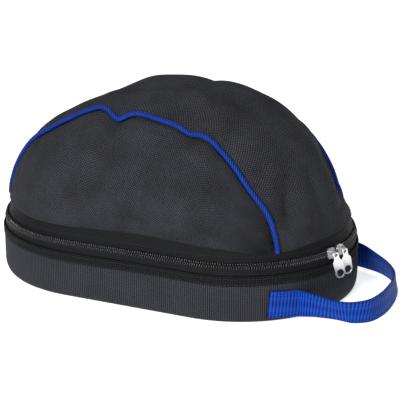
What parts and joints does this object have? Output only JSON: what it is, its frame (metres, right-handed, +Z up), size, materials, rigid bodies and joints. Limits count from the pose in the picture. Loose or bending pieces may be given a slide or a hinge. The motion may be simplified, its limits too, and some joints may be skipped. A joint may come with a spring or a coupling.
{
  "type": "domed zip bag",
  "caption": "Oval padded bag with a piped dome lid that hinges at one end, a two-way coil zip all round and a webbing loop handle at the other end.",
  "frame": {"origin": "middle of the flat underside of the base, on the surface that the bag stands on", "axes": "+X along the bag towards the handle, +Z up towards the dome's crown, +Y across the bag"},
  "size_m": [0.3882, 0.224, 0.188],
  "materials": {
    "outer_cloth": "matt woven polyester, black",
    "hem_cloth": "matt folded cloth with stitching, black",
    "lining_cloth": "smooth thin lining, black",
    "pad_foam": "soft foam sheet, grey",
    "base_board": "moulded sheet, matt",
    "binding_tape": "ribbed binding tape, black",
    "zip_tape": "fine woven tape, black",
    "zip_coil": "nylon coil, semi-matt black",
    "blue_webbing": "ribbed woven webbing, royal blue",
    "blue_piping": "cloth covered cord, royal blue",
    "plated_zinc": "die-cast, nickel plated, softly polished"
  },
  "bodies": {
    "root": {"base_panel": "outer_cloth", "base_board": "base_board", "base_pad": "pad_foam", "base_lining": "lining_cloth", "base_binding": "binding_tape", "band_outer": "outer_cloth", "band_pad": "pad_foam", "band_lining": "lining_cloth", "band_hem": "hem_cloth", "lower_zip_tape": "zip_tape", "lower_zip_coil": "zip_coil", "hinge_cloth_lower": "outer_cloth", "handle_end_near": "blue_webbing", "handle_end_far": "blue_webbing"},
    "lid": {"side_panel_near": "outer_cloth", "side_panel_far": "outer_cloth", "centre_panel": "outer_cloth", "dome_pad": "pad_foam", "dome_lining": "lining_cloth", "piping_near": "blue_piping", "piping_far": "blue_piping", "dome_binding": "binding_tape", "upper_zip_tape": "zip_tape", "upper_zip_coil": "zip_coil", "hinge_cloth_upper": "outer_cloth"},
    "slider_near": {"slider_near": "plated_zinc"},
    "slider_far": {"slider_far": "plated_zinc"},
    "pull_near": {"pull_near": "plated_zinc"},
    "pull_far": {"pull_far": "plated_zinc"},
    "handle": {"handle_loop": "blue_webbing"}
  },
  "joints": [
    {"name": "lid_hinge", "type": "hinge", "parent": "root", "child": "lid", "pos_m": [-0.1705, 0, 0.0522], "axis": [0, -1, 0], "range_deg": [0, 105]},
    {"name": "slider_near_travel", "type": "hinge", "parent": "root", "child": "slider_near", "pos_m": [0.063, 0, 0.0522], "axis": [0, 0, 1], "range_deg": [-71, 0]},
    {"name": "slider_far_travel", "type": "hinge", "parent": "root", "child": "slider_far", "pos_m": [0.063, 0, 0.0522], "axis": [0, 0, 1], "range_deg": [0, 102]},
    {"name": "pull_near_swing", "type": "hinge", "parent": "slider_near", "child": "pull_near", "pos_m": [0.1708, -0.03712, 0.05432], "axis": [-0.3256, -0.9455, 0], "range_deg": [0, 165]},
    {"name": "pull_far_swing", "type": "hinge", "parent": "slider_far", "child": "pull_far", "pos_m": [0.17452, -0.02371, 0.05432], "axis": [-0.2079, -0.9781, 0], "range_deg": [0, 165]},
    {"name": "handle_flex", "type": "hinge", "parent": "root", "child": "handle", "pos_m": [0.16666, 0, 0.0165], "axis": [0, -1, 0], "range_deg": [0, 45]}
  ]
}
